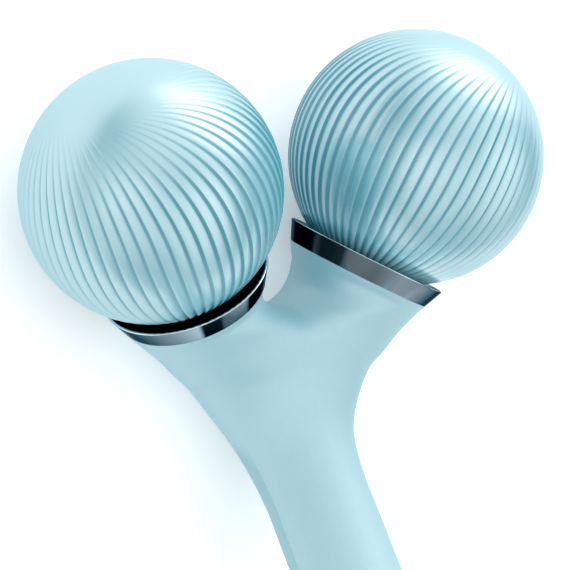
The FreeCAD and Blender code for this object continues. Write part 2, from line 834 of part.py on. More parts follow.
def handle_pockets():
    """All that is hollow in the handle, for both shells."""
    room = "sizes.pocket_clearance"
    tools = [plate("plate_pocket", room, room)]
    for name, side in SIDES:
        tools.append(arm_rod(name + "_spigot_bore", side, SPIGOT_FOOT, f"({BASE} + sizes.overrun)",
                             f"({SPIGOT_RADIUS} + sizes.fit_clearance)"))
        tools.append(arm_rod(name + "_boss_pocket", side, f"({BOSS_FOOT} - {room})",
                             f"({SPIGOT_FOOT} + sizes.overrun)", f"(sizes.boss_radius + {room})"))
        tools.append(arm_rod(name + "_nut_pocket", side, f"({AXLE_FOOT} - {room})", SPIGOT_FOOT,
                             f"(sizes.nut_radius + {room})"))
    tools += screw_rods("screw_bore", f"({SCREW_FOOT} - {room})", "sizes.screw_length",
                        "sizes.screw_radius")
    bore_foot, direction = station(size("grip_end_wall") - size("grip_length"))
    along = FreeCAD.Placement(bore_foot, FreeCAD.Rotation(V(0, 0, 1), direction))
    tools.append(bound("Part::Cylinder", "grip_bore", stand.multiply(along),
                       Radius="sizes.grip_bore_radius",
                       Height="sizes.grip_length - sizes.grip_end_wall"))
    return fused("handle_pockets", tools)


def handle_shell(label, face, pockets):
    """One shell of the handle."""
    return cut(label, shaped(label + "_blank", handle_half(face), stand), pockets)


# The assembly.

pockets = handle_pockets()
pieces = [
    handle_shell("handle_front_shell", 1, pockets),
    handle_shell("handle_rear_shell", -1, pockets),
    core_frame(),
    frame_screws(),
]
ARM_PIECES = (ball_shell, ball_core, lower_bush, upper_bush, axle, retaining_clip, thrust_washer,
              collar, seal_ring, axle_nut)
for name, side in SIDES:
    pieces += [make(name, side) for make in ARM_PIECES]
doc.recompute()

for item in doc.Objects:
    if "Invalid" in item.State or "Error" in item.State:
        raise RuntimeError(f"{item.Label} did not build: {item.State}")
for piece in pieces:
    if piece.Shape.isNull() or not piece.Shape.isValid() or not piece.Shape.Solids:
        raise RuntimeError(f"{piece.Label} has no valid solid")

os.makedirs("parts", exist_ok=True)
for piece in pieces:
    piece.Shape.exportStep(f"parts/{piece.Label}.step")
    print(piece.Label, len(piece.Shape.Solids), round(piece.Shape.Volume, 1))
print("axle lines meet at", stand.Base, "and the fork rises by", math.degrees(abs(stand.Rotation.Angle)))
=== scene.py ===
import json
import math
from collections import namedtuple

import bpy
import numpy as np
from mathutils import Matrix, Vector


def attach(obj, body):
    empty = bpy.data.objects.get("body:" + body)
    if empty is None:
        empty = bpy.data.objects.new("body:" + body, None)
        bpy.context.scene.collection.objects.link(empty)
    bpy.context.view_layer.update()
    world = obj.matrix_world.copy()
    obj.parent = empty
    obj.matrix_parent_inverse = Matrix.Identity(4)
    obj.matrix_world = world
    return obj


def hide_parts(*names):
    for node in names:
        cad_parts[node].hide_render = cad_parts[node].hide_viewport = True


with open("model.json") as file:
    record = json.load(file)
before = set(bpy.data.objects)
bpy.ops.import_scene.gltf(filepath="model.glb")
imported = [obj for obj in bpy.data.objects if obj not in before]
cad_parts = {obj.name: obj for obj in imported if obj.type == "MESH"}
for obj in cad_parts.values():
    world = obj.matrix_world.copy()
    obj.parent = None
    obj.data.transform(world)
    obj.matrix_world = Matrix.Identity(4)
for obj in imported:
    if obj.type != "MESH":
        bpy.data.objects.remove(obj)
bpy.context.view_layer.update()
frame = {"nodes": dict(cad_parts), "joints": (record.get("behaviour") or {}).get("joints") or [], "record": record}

# Looks of the facial roller. Lengths are metres.
# Pieces are worked out in two frames with one origin, the point where the two axle lines meet.
# Fork frame: X towards the balls, Y to the left arm, Z to the concave front. Arm frame: Z up an axle.

SIDES = {"left": 1, "right": -1}
FRONT = 1
REAR = -1


# The frame's own joints give the place of both frames.

def joint_line(name):
    """A point and the direction of one of the record's hinges."""
    joint = next(item for item in frame["joints"] if item["name"] == name)
    return np.array(joint["pos_m"]), np.array(joint["axis"])


def unit(vector):
    """The vector at length one."""
    return vector / np.linalg.norm(vector)


left_centre, left_axis = joint_line("left_ball_spin")
right_centre, right_axis = joint_line("right_ball_spin")
BALL_REACH = np.linalg.norm(left_centre - right_centre) / np.linalg.norm(left_axis - right_axis)
HALF_ANGLE = math.acos(left_axis @ right_axis) / 2
fork_x = unit(left_axis + right_axis)
fork_y = unit(left_axis - right_axis)
fork_z = np.cross(fork_x, fork_y)
FORK_AXES = np.array([fork_x, fork_y, fork_z])
FORK_ORIGIN = left_centre - left_axis * BALL_REACH


def from_fork(points):
    """Points of the fork frame in the row frame."""
    return FORK_ORIGIN + np.asarray(points) @ FORK_AXES


def arm_axes(side):
    """The three axes of an arm frame."""
    up = np.array([math.cos(HALF_ANGLE), side * math.sin(HALF_ANGLE), 0])
    front = np.array([0, 0, 1])
    return np.array([front, np.cross(up, front), up])


def from_arm(points, side):
    """Points of an arm frame in the row frame."""
    return from_fork(np.asarray(points) @ arm_axes(side))


# Driving dimensions with the values of the part's source. The chord's offset is a share of the ball's
# radius here, where the source has it as a share of the crown's.

BALL_RADIUS = 0.020
MOUTH_DROP_SHARE = 0.93
CORE_RADIUS = 0.0072
CORE_RISE_SHARE = 0.42
BORE_RELIEF = 0.0004
FLUTE_COUNT = 60
FLUTE_DEPTH = 0.00027
FLUTE_VALLEY_SHARE = 0.73
CHORD_OFFSET_SHARE = 0.383

RIM_DROP_SHARE = 0.855
BASE_DROP_SHARE = 1.0155
RIM_RADIUS_SHARE = 0.6585
BASE_RADIUS_SHARE = 0.588
DISH_GAP = 0.00134
SEAT_RADIUS = 0.0052
SEAT_DROP = 0.00015
COLLAR_FLOOR = 0.0023
SPIGOT_WALL_SHARE = 0.8
SEAL_RISE = 0.0015
SEAL_GROOVE_HALF = 0.00065
SEAL_GROOVE_DEPTH = 0.0012
THREAD_HOLE_RADIUS = 0.00255

BEND_ANGLE = math.radians(45.7)
HEEL_SHARE = 0.527
GRIP_LENGTH = 0.092
GRIP_HALF_WIDTH = 0.00865
GRIP_HALF_DEPTH = 0.0084
GRIP_CREASE = math.radians(20)
DOME_LENGTH = 0.0065
PARTING_LIFT = 0.0012

MOUTH_HEIGHT = BALL_REACH - MOUTH_DROP_SHARE * BALL_RADIUS
BORE_TOP = BALL_REACH + CORE_RISE_SHARE * BALL_RADIUS + BORE_RELIEF
RIM_HEIGHT = BALL_REACH - RIM_DROP_SHARE * BALL_RADIUS
BASE_HEIGHT = BALL_REACH - BASE_DROP_SHARE * BALL_RADIUS
RIM_RADIUS = RIM_RADIUS_SHARE * BALL_RADIUS
BASE_RADIUS = BASE_RADIUS_SHARE * BALL_RADIUS
DISH_RADIUS = BALL_RADIUS + DISH_GAP
SEAT_HEIGHT = BALL_REACH - DISH_RADIUS - SEAT_DROP
SPIGOT_FOOT = SEAT_HEIGHT - COLLAR_FLOOR
SPIGOT_RADIUS = SPIGOT_WALL_SHARE * BASE_RADIUS
SEAL_HEIGHT = SPIGOT_FOOT + SEAL_RISE
SEAL_GROOVE_RADIUS = SPIGOT_RADIUS - SEAL_GROOVE_DEPTH


# Helpers for shapes and meshes.

WELD_DISTANCE = 1e-7
SHARP_ANGLE = math.radians(55)


def smooth_step(value, start, end):
    """0 at start and 1 at end, with level ends."""
    share = np.clip((value - start) / (end - start), 0, 1)
    return share * share * (3 - 2 * share)


def ring(radius, height, angles):
    """Points round an axle; the radius and the height may change from point to point."""
    heights = np.broadcast_to(height, len(angles))
    return np.column_stack([radius * np.cos(angles), radius * np.sin(angles), heights])


def quad_faces(rows, columns, closed, offset=0):
    """Faces of a grid of points; a closed grid joins its last column to its first."""
    faces = []
    for row in range(rows - 1):
        for column in range(columns if closed else columns - 1):
            after = (column + 1) % columns
            low = offset + row * columns
            high = low + columns
            faces.append((low + column, low + after, high + after, high + column))
    return faces


def new_piece(name, points, faces, body, node, material, tones):
    """A smooth mesh piece that rides on a body and stands for a CAD node, with tones for its colour."""
    mesh = bpy.data.meshes.new(name)
    mesh.from_pydata([tuple(point) for point in points], [], faces)
    mesh.attributes.new("tone", "FLOAT", "POINT").data.foreach_set("value", tones)
    piece = bpy.data.objects.new(name, mesh)
    bpy.context.scene.collection.objects.link(piece)
    weld = piece.modifiers.new("weld", "WELD")
    weld.merge_threshold = WELD_DISTANCE
    bpy.context.view_layer.update()
    welded = bpy.data.meshes.new_from_object(piece.evaluated_get(bpy.context.evaluated_depsgraph_get()))
    piece.modifiers.clear()
    piece.data = welded
    welded.name = name
    welded.shade_smooth()
    welded.set_sharp_from_angle(angle=SHARP_ANGLE)
    welded.materials.append(material)
    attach(piece, body)
    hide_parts(node)


# Materials. A noise is given by its cells to the metre and its detail.

# Most of a noise lies between these two levels.
NOISE_LOW = 0.3
NOISE_HIGH = 0.7


class Shader:
    """A node material with one principled shader, whose helpers add and link nodes."""

    def __init__(self, name, **constants):
        self.material = bpy.data.materials.new(name)
        self.material.use_nodes = True
        self.tree = self.material.node_tree
        self.bsdf = self.tree.nodes["Principled BSDF"]
        self.place = self.tree.nodes.new("ShaderNodeTexCoord").outputs["Object"]
        for socket, constant in constants.items():
            self.bsdf.inputs[socket.replace("_", " ")].default_value = constant

    def link(self, output, socket):
        """Feeds one of the shader's own sockets."""
        self.tree.links.new(output, self.bsdf.inputs[socket])

    def noise(self, cells, detail):
        """Noise between 0 and 1."""
        node = self.tree.nodes.new("ShaderNodeTexNoise")
        node.inputs["Scale"].default_value = cells
        node.inputs["Detail"].default_value = detail
        self.tree.links.new(self.place, node.inputs["Vector"])
        return node.outputs["Fac"]

    def flakes(self, cells):
        """A random colour for each cell."""
        node = self.tree.nodes.new("ShaderNodeTexVoronoi")
        node.inputs["Scale"].default_value = cells
        self.tree.links.new(self.place, node.inputs["Vector"])
        return node.outputs["Color"]

    def tone(self):
        """The tone that the mesh keeps at each point: its painted shade, painted light or painted reflection."""
        node = self.tree.nodes.new("ShaderNodeAttribute")
        node.attribute_name = "tone"
        return node.outputs["Fac"]

    def dusted(self, colour, dust, share):
        """A colour that gives a share of itself to a finer one."""
        node = self.tree.nodes.new("ShaderNodeMixRGB")
        node.inputs["Fac"].default_value = share
        self.tree.links.new(colour, node.inputs["Color1"])
        self.tree.links.new(dust, node.inputs["Color2"])
        return node.outputs["Color"]

    def stops(self, level, stops):
        """A colour that runs through stops, each a level and a colour."""
        node = self.tree.nodes.new("ShaderNodeValToRGB")
        elements = node.color_ramp.elements
        while len(elements) < len(stops):
            elements.new(1)
        for element, (position, colour) in zip(elements, stops):
            element.position = position
            element.color = (*colour, 1)
        self.tree.links.new(level, node.inputs["Fac"])
        return node.outputs["Color"]

    def ramp(self, level, low, high, start=NOISE_LOW, end=NOISE_HIGH):
        """A colour that runs from low to high as a level goes from start to end."""
        return self.stops(level, ((start, low), (end, high)))

    def spread(self, level, low, high, start=NOISE_LOW, end=NOISE_HIGH):
        """A number that runs from low to high as a level goes from start to end."""
        node = self.tree.nodes.new("ShaderNodeMapRange")
        node.inputs["From Min"].default_value = start
        node.inputs["From Max"].default_value = end
        node.inputs["To Min"].default_value = low
        node.inputs["To Max"].default_value = high
        self.tree.links.new(level, node.inputs["Value"])
        return node.outputs["Result"]

    def bump(self, level, depth):
        """Raises the surface by a level times a depth in metres."""
        node = self.tree.nodes.new("ShaderNodeBump")
        node.inputs["Distance"].default_value = depth
        self.tree.links.new(level, node.inputs["Height"])
        self.link(node.outputs["Normal"], "Normal")

    def surface(self, haze, roughnesses, grain, grain_depth):
        """A roughness that follows one noise and a grain that follows another."""
        self.link(self.spread(self.noise(*haze), *roughnesses), "Roughness")
        self.bump(self.noise(*grain), grain_depth)


# Pearl lacquer. This tone gives the plain pearl; a lower tone is painted shade and a higher one painted light.
PEARL_TONE = 0.8
PAINTED_LIGHT_GROUND = (0.5, 0.86, 0.93)
PEARL_IOR = 3.6
PEARL_FLAKES = 5200
FLAKE_SHARE = 0.02
PEARL_GLOSSES = (0.12, 0.52)
PEARL_HAZE = (900, 4)
PEARL_GRAIN = (1500, 2)
PEARL_GRAIN_DEPTH = 1.2e-6

# Of a lacquer's two colours, the first is painted shade and the second the plain ground.
Lacquer = namedtuple("Lacquer", "name deep pale roughnesses")
BALL_LACQUER = Lacquer("ball_lacquer", (0.025, 0.25, 0.33), (0.125, 0.44, 0.535), (0.285, 0.315))
HANDLE_LACQUER = Lacquer("handle_lacquer", (0.08, 0.26, 0.32), (0.13, 0.42, 0.51), (0.58, 0.64))


def pearl_material(lacquer):
    """Pearl lacquer: a teal ground with fine flakes under a strong, silvery white satin gloss.

    Where the mesh is toned dark, in the steep sides of the pleats and along the rear of the grip, the ground is
    deeper and the gloss weaker: painted shade.
    Where it is toned above the plain level, at the mouth of a ball, the ground is paler: painted light.
    """
    shader = Shader(lacquer.name, IOR=PEARL_IOR)
    tone = shader.tone()
    ground = shader.stops(tone, ((0, lacquer.deep), (PEARL_TONE, lacquer.pale), (1, PAINTED_LIGHT_GROUND)))
    shader.link(shader.dusted(ground, shader.flakes(PEARL_FLAKES), FLAKE_SHARE), "Base Color")
    shader.link(shader.spread(tone, *PEARL_GLOSSES, 0, PEARL_TONE), "Specular IOR Level")
    shader.surface(PEARL_HAZE, lacquer.roughnesses, PEARL_GRAIN, PEARL_GRAIN_DEPTH)
    return shader.material


# Dark plating. Its dark tint keeps the bands from turning white at grazing angles.
# The plating's colour runs between these two with its painted reflections, from dark to bright.
PLATING_PAINTED_REFLECTION_COLOURS = ((0.0, 0.004, 0.006), (0.66, 0.86, 1.0))
PLATING_TINT = (0.08, 0.1, 0.11, 1)
PLATING_HAZE = (2600, 5)
PLATING_ROUGHNESSES = (0.16, 0.2)
PLATING_GRAIN = (800, 2)
PLATING_GRAIN_DEPTH = 4e-7


def plating_material():
    """Dark plating, polished, with painted reflections from black to bright and a faint lapping haze."""
    shader = Shader("dark_plating", Metallic=1.0, Specular_Tint=PLATING_TINT)
    shader.link(shader.ramp(shader.tone(), *PLATING_PAINTED_REFLECTION_COLOURS, 0, 1), "Base Color")
    shader.surface(PLATING_HAZE, PLATING_ROUGHNESSES, PLATING_GRAIN, PLATING_GRAIN_DEPTH)
    return shader.material


# The finishes of the pieces inside, by their slot. The mottle is the noise that the colours follow.
Finish = namedtuple("Finish", "name constants mottle colours haze roughnesses grain grain_depth")
INNER_FINISHES = {
    "steel": Finish(
        name="turned_steel", constants={"Metallic": 1.0},
        mottle=(700, 4), colours=((0.5, 0.51, 0.53), (0.66, 0.67, 0.68)),
        haze=(9000, 4), roughnesses=(0.18, 0.36), grain=(6000, 3), grain_depth=4e-6),
    "frame_aluminium": Finish(
        name="cast_aluminium", constants={"Metallic": 1.0},
        mottle=(500, 5), colours=((0.48, 0.49, 0.5), (0.66, 0.67, 0.68)),
        haze=(2400, 5), roughnesses=(0.38, 0.6), grain=(2600, 5), grain_depth=2.5e-5),
    "white_plastic": Finish(
        name="white_moulding", constants={"Subsurface_Weight": 0.08, "Subsurface_Scale": 0.002},
        mottle=(400, 4), colours=((0.74, 0.74, 0.71), (0.84, 0.84, 0.81)),
        haze=(1800, 4), roughnesses=(0.38, 0.52), grain=(3000, 4), grain_depth=8e-6),
    "seal_rubber": Finish(
        name="black_rubber", constants={},
        mottle=(900, 4), colours=((0.012, 0.012, 0.012), (0.03, 0.03, 0.03)),
        haze=(2500, 4), roughnesses=(0.6, 0.85), grain=(3500, 4), grain_depth=1.2e-5),
}


def inner_material(finish):
    """A mottled material with a haze and a grain."""
    shader = Shader(finish.name, **finish.constants)
    shader.link(shader.ramp(shader.noise(*finish.mottle), *finish.colours), "Base Color")
    shader.surface(finish.haze, finish.roughnesses, finish.grain, finish.grain_depth)
    return shader.material


# The fluted balls. Phases run across one pleat from its crest; a tone of 0 is the facet's deepest painted shade.

BALL_ROWS = 130
FLUTE_PHASES = np.array([0, 0.03, 0.18, 0.34, 0.5, 0.62, 0.7, 0.73, 0.76, 0.84, 0.97])
FLUTE_PAINTED_SHADE_TONES = np.array([1, 1, 1, 1, 0.95, 0.8, 0.55, 0.3, 0.08, 0, 0.1])
LAND_ROUNDING = 1.6
MOUTH_LATITUDE = -math.asin(MOUTH_DROP_SHARE)
LIP_BEVEL = 0.00025
POLE_GAP = 1e-4
AXIS_RADIUS = 1e-6

# Latitudes at which each thing starts and at which it is full: the pleats and their painted shade, and the painted
# light near the mouth. The crown's first one stays below the latitude where a flute's chord ends, about 67
# degrees.
MOUTH_FADE = (math.radians(-68), math.radians(-58))
MOUTH_PAINTED_LIGHT_FADE = (math.radians(-40), math.radians(-58))
CROWN_FADE = (math.radians(66), math.radians(20))
DEPTH_FADE = (math.radians(68), math.radians(5))


def flute_swing(latitude):
    """How far a flute has turned round the ball: a chord in plan above the equator, a meridian below."""
    above = np.clip(latitude, 0, CROWN_FADE[0])
    return math.acos(CHORD_OFFSET_SHARE) - np.arccos(CHORD_OFFSET_SHARE / np.cos(above))


def flute_drop(phase):
    """Depth share across one pleat: a gentle round fall from the crest, then a steep straight rise."""
    fall = (phase / FLUTE_VALLEY_SHARE) ** LAND_ROUNDING
    rise = (1 - phase) / (1 - FLUTE_VALLEY_SHARE)
    return np.where(phase < FLUTE_VALLEY_SHARE, fall, rise)


def ball_piece(name, side, material):
    """One fluted ball with its mouth and its bore."""
    turns = side * (np.arange(FLUTE_COUNT)[:, None] + FLUTE_PHASES[None, :]).ravel()
    straight = turns * 2 * math.pi / FLUTE_COUNT
    drops = np.tile(flute_drop(FLUTE_PHASES), FLUTE_COUNT)
    facet_painted_shade = np.tile(1 - FLUTE_PAINTED_SHADE_TONES, FLUTE_COUNT)
    rings = []
    tones = []
    for radius, height in ((AXIS_RADIUS, BORE_TOP), (CORE_RADIUS, BORE_TOP), (CORE_RADIUS, MOUTH_HEIGHT)):
        rings.append(ring(radius, height, straight))
        tones.append(np.full(len(turns), PEARL_TONE))
    lowest = MOUTH_LATITUDE + LIP_BEVEL / BALL_RADIUS
    for latitude in np.linspace(lowest, math.pi / 2 - POLE_GAP, BALL_ROWS):
        mouth = smooth_step(latitude, *MOUTH_FADE)
        # Painted shade on the pleats' steep facets, faded out towards the crown and the mouth.
        painted_shade_share = smooth_step(latitude, *CROWN_FADE) * mouth
        # Painted light near the mouth: a paler ground.
        painted_light_share = smooth_step(latitude, *MOUTH_PAINTED_LIGHT_FADE)
        tones.append((PEARL_TONE + (1 - PEARL_TONE) * painted_light_share) * (1 - painted_shade_share * facet_painted_shade))
        depth = FLUTE_DEPTH * smooth_step(latitude, *DEPTH_FADE) * mouth
        radii = BALL_RADIUS - depth * drops
        heights = BALL_REACH + radii * math.sin(latitude)
        rings.append(ring(radii * math.cos(latitude), heights, straight - side * flute_swing(latitude)))
    points = from_arm(np.concatenate(rings), side)
    faces = [quad[::side] for quad in quad_faces(len(rings), len(turns), True)]
    new_piece(name + "_ball_skin", points, faces, name + "_ball",
              name + "_ball_shell", material, np.concatenate(tones))


# The collars.

COLLAR_SEGMENTS = 288
EDGE_STEPS = 4
DISH_STEPS = 10
BASE_ROUND = 0.00012
RIM_ROUND = 0.00015
BAND_SHARE = 0.945
RIM_INNER = math.sqrt(DISH_RADIUS ** 2 - (BALL_REACH - RIM_HEIGHT) ** 2)

# Tones of the plating round each band, as degrees from the front and how much light it returns.
# They are painted reflections of the dark studio that the photograph's collars mirror, and so are the dishes'
# tones.
BAND_PAINTED_REFLECTIONS = {
    "left": ((-180, 0.3), (-85, 0.5), (-62, 0.32), (-46, 0.36), (-27, 0.58), (-24, 0.03), (-11, 0.04),
             (-8, 0.24), (4, 0.29), (12, 0.45), (15, 0.06), (42, 0.06), (48, 0.3), (180, 0.3)),
    "right": ((-180, 0.3), (-116, 0.5), (-110, 0.1), (-103, 0.01), (-84, 0.003), (-80, 0.09), (-75, 0.03),
              (-57, 0.03), (-54, 0.15), (-48, 0.19), (-30, 0.21), (-20, 0.4), (-10, 0.55), (0, 0.4),
              (8, 0.26), (20, 0.24), (40, 0.36), (60, 0.3), (180, 0.3)),
}
# The rim's tone is a painted highlight and the dishes' tones are painted reflections.
RIM_PAINTED_HIGHLIGHT = 0.9
DISH_PAINTED_REFLECTIONS = {"left": 0.004, "right": 0.7}


def rounded_outline(corners):
    """A closed outline of (radius, height, rounding) corners with its corners rounded by arcs."""
    points = []
    count = len(corners)
    for place in range(count):
        before, here, after = (np.array(corners[(place + step) % count][:2]) for step in (-1, 0, 1))
        rounding = corners[place][2]
        if rounding == 0:
            points.append(here)
            continue
        towards = unit(before - here)
        away = unit(after - here)
        half_turn = math.acos(np.clip(towards @ away, -1, 1)) / 2
        middle = here + unit(towards + away) * rounding / math.sin(half_turn)
        start = here + towards * rounding / math.tan(half_turn)
        end = here + away * rounding / math.tan(half_turn)
        for share in np.linspace(0, 1, EDGE_STEPS + 1):
            chord = start + (end - start) * share
            points.append(middle + unit(chord - middle) * rounding)
    return points


def collar_corners():
    """The collar's outline in its arm frame: spigot, seal groove, conical band, rim, dish, seat."""
    corners = [
        (THREAD_HOLE_RADIUS, SPIGOT_FOOT, 0),
        (SPIGOT_RADIUS, SPIGOT_FOOT, BASE_ROUND),
        (SPIGOT_RADIUS, SEAL_HEIGHT - SEAL_GROOVE_HALF, 0),
        (SEAL_GROOVE_RADIUS, SEAL_HEIGHT - SEAL_GROOVE_HALF, 0),
        (SEAL_GROOVE_RADIUS, SEAL_HEIGHT + SEAL_GROOVE_HALF, 0),
        (SPIGOT_RADIUS, SEAL_HEIGHT + SEAL_GROOVE_HALF, 0),
        (SPIGOT_RADIUS, BASE_HEIGHT, 0),
        (BASE_RADIUS, BASE_HEIGHT, BASE_ROUND),
        (BASE_RADIUS + BAND_SHARE * (RIM_RADIUS - BASE_RADIUS),
         BASE_HEIGHT + BAND_SHARE * (RIM_HEIGHT - BASE_HEIGHT), 0),
        (RIM_RADIUS, RIM_HEIGHT, RIM_ROUND),
        (RIM_INNER, RIM_HEIGHT, RIM_ROUND / 2),
    ]
    for radius in np.linspace(RIM_INNER, SEAT_RADIUS, DISH_STEPS)[1:]:
        corners.append((radius, BALL_REACH - math.sqrt(DISH_RADIUS ** 2 - radius ** 2), 0))
    corners += [(SEAT_RADIUS, SEAT_HEIGHT, 0), (THREAD_HOLE_RADIUS, SEAT_HEIGHT, 0)]
    return corners


def collar_painted_reflections(name, radius, height, angles):
    """Painted reflections of one ring of the collar: an even painted highlight on the rim, an even painted
    reflection in the dish, painted bands elsewhere.
    """
    if height > RIM_HEIGHT - RIM_ROUND and radius > RIM_INNER:
        return np.full(len(angles), RIM_PAINTED_HIGHLIGHT)
    if math.hypot(radius, BALL_REACH - height) < DISH_RADIUS + WELD_DISTANCE:
        return np.full(len(angles), DISH_PAINTED_REFLECTIONS[name])
    degrees, levels = np.array(BAND_PAINTED_REFLECTIONS[name]).T
    turns = (np.degrees(angles) + 180) % 360 - 180
    return np.interp(turns, degrees, levels)


def collar_piece(name, side, material):
    """One polished collar, turned about its arm."""
    outline = rounded_outline(collar_corners())
    outline.append(outline[0])
    angles = np.arange(COLLAR_SEGMENTS) * 2 * math.pi / COLLAR_SEGMENTS
    rings = [ring(radius, height, angles) for radius, height in outline]
    tones = [collar_painted_reflections(name, radius, height, angles) for radius, height in outline]
    points = from_arm(np.concatenate(rings), side)
    faces = quad_faces(len(rings), COLLAR_SEGMENTS, True)
    new_piece(name + "_collar_ring", points, faces, "handle",
              name + "_collar", material, np.concatenate(tones))


# The handle's centre line: the straight grip, then the bend up to the collars' bases.

BEND_END = BASE_HEIGHT * math.cos(HALF_ANGLE)
HEEL = HEEL_SHARE * BEND_END
BEND_RADIUS = (BEND_END - HEEL) / math.tan(BEND_ANGLE / 2)
BEND_LENGTH = BEND_RADIUS * BEND_ANGLE
GRIP_DIRECTION = np.array([math.cos(BEND_ANGLE), 0, -math.sin(BEND_ANGLE)])
BEND_START = np.array([HEEL, 0, 0]) - GRIP_DIRECTION * (BEND_END - HEEL)
BEND_CENTRE = np.array([BEND_END, 0, BEND_RADIUS])


def station(length):
    """Point and direction of the centre line, length on from where the bend starts."""
    if length < 0:
        return BEND_START + GRIP_DIRECTION * length, GRIP_DIRECTION
    angle = length / BEND_RADIUS - BEND_ANGLE
    outward = np.array([math.sin(angle), 0, -math.cos(angle)])
    return BEND_CENTRE + outward * BEND_RADIUS, np.array([math.cos(angle), 0, math.sin(angle)])


# The handle: sections that run from the grip to one collar, each an oval between an outer and an
# inner point, which are given by their stations on the centre line and their reach to the side.
# Shares are of the bend's length.

Section = namedtuple(
    "Section",
    "share outer_station outer_reach inner_station inner_reach half_depth crease blend lift")
FIELDS = {field: place for place, field in enumerate(Section._fields)}
STATION_FIELDS = [FIELDS["outer_station"], FIELDS["inner_station"]]

GRIP_TOP_SHARE = -0.45
NECK_SHARE = -0.2
HEEL_SECTION_SHARE = 0.14
HEEL_CREASE_SHARE = 0.6
FORK_SHARE = 0.46
FORK_STATION_SHARES = (0.44, 0.48)
WEB_SHARE = 0.68
WEB_STATION_SHARES = (0.546, 0.805)
CROTCH_SHARE = 0.8
CROTCH_STATION_SHARES = (0.654, 0.9)
CHEEK_SHARE = 0.88
CHEEK_STATION_SHARES = (0.726, 0.98)
CHEEK_OUTER_SHARE = 0.47
CHEEK_INNER_SHARE = 0.95

# These and the crotch's inner station were trimmed to the photograph, so most of them differ slightly
# from the part's source.
HEEL_HALF_WIDTH = 0.0104
HEEL_HALF_DEPTH = 0.0086
FORK_HALF_WIDTH = 0.0150
FORK_HALF_DEPTH = 0.0093
FORK_LIFT = 0.0011
WEB_OUTER = 0.0180
WEB_INNER = 0.006
WEB_HALF_DEPTH = 0.0103
WEB_LIFT = 0.0012
CROTCH_OUTER = 0.0210
CROTCH_BLEND = 0.0015
CROTCH_HALF_DEPTH = 0.0108
CROTCH_LIFT = 0.0011
CHEEK_HALF_DEPTH = 0.0114
CHEEK_LIFT = 0.00065

COLLAR_STEP = BASE_RADIUS * math.sin(HALF_ANGLE)
COLLAR_HALF = BASE_RADIUS * math.cos(HALF_ANGLE)
COLLAR_REACH = BASE_HEIGHT * math.sin(HALF_ANGLE)
COLLAR_OUTER = COLLAR_REACH + COLLAR_HALF
COLLAR_INNER = COLLAR_REACH - COLLAR_HALF
CHEEK_OUTER = CROTCH_OUTER + CHEEK_OUTER_SHARE * (COLLAR_OUTER - CROTCH_OUTER)
CHEEK_INNER = math.hypot(CHEEK_INNER_SHARE * COLLAR_INNER, CROTCH_BLEND)


def level_section(share, half_width, half_depth, crease):
    """A section that is the same to both sides of the middle plane."""
    place = share * BEND_LENGTH
    return Section(share, place, half_width, place, -half_width, half_depth, crease, 0, PARTING_LIFT)


def leg_section(share, station_shares, outer_reach, inner_reach, half_depth, blend, lift):
    """A section whose outer and inner points have stations of their own."""
    outer_share, inner_share = station_shares
    return Section(share, outer_share * BEND_LENGTH, outer_reach,
                   inner_share * BEND_LENGTH, inner_reach, half_depth, 0, blend, lift)


SECTIONS = np.array([
    level_section(GRIP_TOP_SHARE, GRIP_HALF_WIDTH, GRIP_HALF_DEPTH, GRIP_CREASE),
    level_section(NECK_SHARE, GRIP_HALF_WIDTH, GRIP_HALF_DEPTH, GRIP_CREASE),
    level_section(HEEL_SECTION_SHARE, HEEL_HALF_WIDTH, HEEL_HALF_DEPTH, HEEL_CREASE_SHARE * GRIP_CREASE),
    leg_section(FORK_SHARE, FORK_STATION_SHARES, FORK_HALF_WIDTH, -FORK_HALF_WIDTH,
                FORK_HALF_DEPTH, 0, FORK_LIFT),
    leg_section(WEB_SHARE, WEB_STATION_SHARES, WEB_OUTER, -WEB_INNER,
                WEB_HALF_DEPTH, CROTCH_BLEND, WEB_LIFT),
    leg_section(CROTCH_SHARE, CROTCH_STATION_SHARES, CROTCH_OUTER, CROTCH_BLEND,
                CROTCH_HALF_DEPTH, CROTCH_BLEND, CROTCH_LIFT),
    leg_section(CHEEK_SHARE, CHEEK_STATION_SHARES, CHEEK_OUTER, CHEEK_INNER,
                CHEEK_HALF_DEPTH, CROTCH_BLEND, CHEEK_LIFT),
    Section(1, BEND_LENGTH - COLLAR_STEP, COLLAR_OUTER, BEND_LENGTH + COLLAR_STEP, COLLAR_INNER,
            BASE_RADIUS, 0, 0, 0),
])
SECTION_SHARES = SECTIONS[:, FIELDS["share"]]


def section_slope(place):
    """How fast the fields change at a section, from its neighbours on both sides."""
    steps = np.diff(SECTION_SHARES)
    rates = np.diff(SECTIONS, axis=0) / steps[:, None]
    if place == 0:
        return rates[0]
    if place == len(SECTIONS) - 1:
        return rates[-1]
    before = steps[place - 1]
    after = steps[place]
    return (rates[place - 1] * after + rates[place] * before) / (before + after)


def blended_section(share):
    """The section at any share of the bend, on smooth curves through the given ones."""
    place = np.clip(np.searchsorted(SECTION_SHARES, share, side="right") - 1, 0, len(SECTIONS) - 2)
    step = SECTION_SHARES[place + 1] - SECTION_SHARES[place]
    part = (share - SECTION_SHARES[place]) / step
    rise = part * part * (3 - 2 * part)
    leave = part * (1 - part) ** 2
    arrive = part * part * (part - 1)
    ends = (1 - rise) * SECTIONS[place] + rise * SECTIONS[place + 1]
    return ends + step * (leave * section_slope(place) + arrive * section_slope(place + 1))


def drawn_in(reach, blend):
    """A reach to the side, drawn in towards the middle plane by the blend."""
    return np.sign(reach) * np.sqrt(np.maximum(reach ** 2 - blend ** 2, 0))


# The web between the legs is a pillow: level, with round edges along its outline and the notch. It
# comes and goes, and its edges turn rounder, between the shares of the bend given here.

